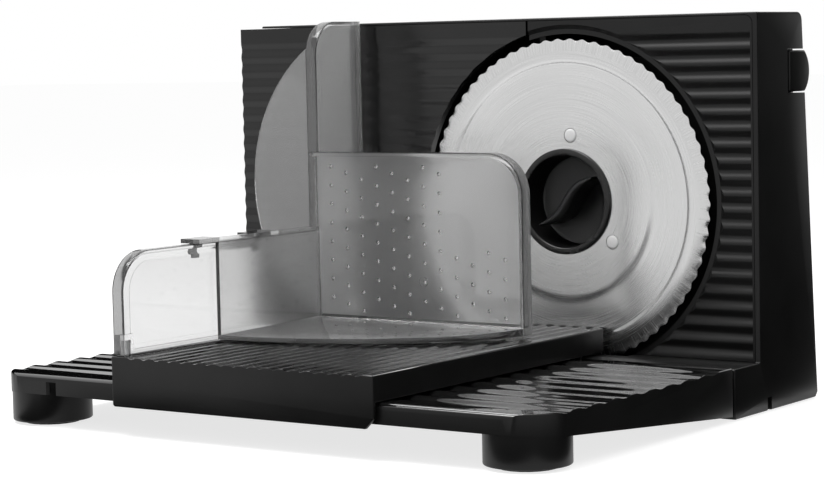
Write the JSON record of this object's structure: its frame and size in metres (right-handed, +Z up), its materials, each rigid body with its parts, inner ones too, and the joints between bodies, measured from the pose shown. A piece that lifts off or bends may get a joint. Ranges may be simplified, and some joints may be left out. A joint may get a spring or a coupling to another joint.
{
  "type": "food slicer",
  "caption": "Domestic electric food slicer with a round wavy blade, ribbed stop plate, tray, sliding carriage with clear guard and spiked pusher.",
  "frame": {"origin": "middle of the outer box, on the worktop", "axes": "+X to the right along the blade's face, +Y from the tray to the motor side, +Z up"},
  "size_m": [0.3294, 0.2768, 0.2015],
  "materials": {
    "black_plastic": "satin black, moulded",
    "dark_plastic": "matt black, moulded",
    "control_plastic": "black, smooth",
    "clear_plastic": "clear with a faint smoky tint",
    "blade_steel": "turned and brushed in circles, ground edge",
    "bright_steel": "bright zinc",
    "drive_steel": "dull machined",
    "brass": "sintered",
    "white_nylon": "natural white",
    "rubber": "matt"
  },
  "bodies": {
    "housing": {"main_casing": "black_plastic", "front_panel": "black_plastic", "bottom_cover": "dark_plastic", "bottom_screw_1": "bright_steel", "bottom_screw_2": "bright_steel", "bottom_screw_3": "bright_steel", "bottom_screw_4": "bright_steel", "rear_foot_1": "rubber", "rear_foot_2": "rubber", "front_bush": "brass", "rear_bush": "brass", "gear_bracket": "drive_steel", "bracket_screw_1": "bright_steel", "bracket_screw_2": "bright_steel", "bracket_screw_3": "bright_steel", "motor_can": "drive_steel", "motor_cradle": "dark_plastic", "cradle_screw_1": "bright_steel", "cradle_screw_2": "bright_steel", "worm_support": "dark_plastic", "micro_switch": "dark_plastic", "terminal_block": "white_nylon", "guide_rod_1": "bright_steel", "guide_rod_2": "bright_steel", "tray": "black_plastic", "front_pad_1": "rubber", "front_pad_2": "rubber", "tray_screw_1": "bright_steel", "tray_screw_2": "bright_steel"},
    "blade_set": {"blade": "blade_steel", "blade_hub": "white_nylon", "blade_rivet_1": "white_nylon", "blade_rivet_2": "white_nylon", "blade_rivet_3": "white_nylon", "blade_shaft": "drive_steel", "drive_gear": "white_nylon"},
    "lock_knob": {"blade_lock_knob": "control_plastic"},
    "rotor": {"motor_shaft": "bright_steel", "motor_fan": "dark_plastic"},
    "stop": {"stop_plate": "black_plastic"},
    "dial": {"thickness_dial": "dark_plastic", "thickness_shaft": "bright_steel"},
    "carriage": {"carriage_table": "black_plastic", "carriage_wall": "clear_plastic", "wall_screw_1": "bright_steel", "wall_screw_2": "bright_steel"},
    "pusher_slide_body": {"pusher": "clear_plastic"},
    "button": {"push_button": "control_plastic"}
  },
  "joints": [
    {"name": "blade_spin", "type": "hinge", "parent": "housing", "child": "blade_set", "pos_m": [0.05325, 0.10434, 0.1045], "axis": [0, 1, 0], "continuous": true},
    {"name": "rotor_spin", "type": "hinge", "parent": "housing", "child": "rotor", "pos_m": [0.09325, 0.10434, 0.0685], "axis": [1, 0, 0], "continuous": true},
    {"name": "lock_turn", "type": "hinge", "parent": "blade_set", "child": "lock_knob", "pos_m": [0.05325, 0.06964, 0.1045], "axis": [0, -1, 0], "range_deg": [0, 90]},
    {"name": "stop_slide", "type": "slide", "parent": "housing", "child": "stop", "axis": [0, 1, 0], "range_m": [0, 0.015]},
    {"name": "dial_turn", "type": "hinge", "parent": "housing", "child": "dial", "pos_m": [-0.09175, 0.12364, 0.146], "axis": [0, 1, 0], "range_deg": [0, 300]},
    {"name": "carriage_slide", "type": "slide", "parent": "housing", "child": "carriage", "axis": [1, 0, 0], "range_m": [-0.084, 0.11]},
    {"name": "pusher_slide", "type": "slide", "parent": "carriage", "child": "pusher_slide_body", "axis": [0, 1, 0], "range_m": [-0.035, 0.036]},
    {"name": "button_press", "type": "slide", "parent": "housing", "child": "button", "axis": [0, -1, 0], "range_m": [0, 0.002], "stiffness_N_per_m": 500}
  ],
  "couplings": [
    {"joint": "rotor_spin", "follows": "blade_spin", "ratio": 30},
    {"joint": "dial_turn", "follows": "stop_slide", "rad_per_m": 349}
  ]
}
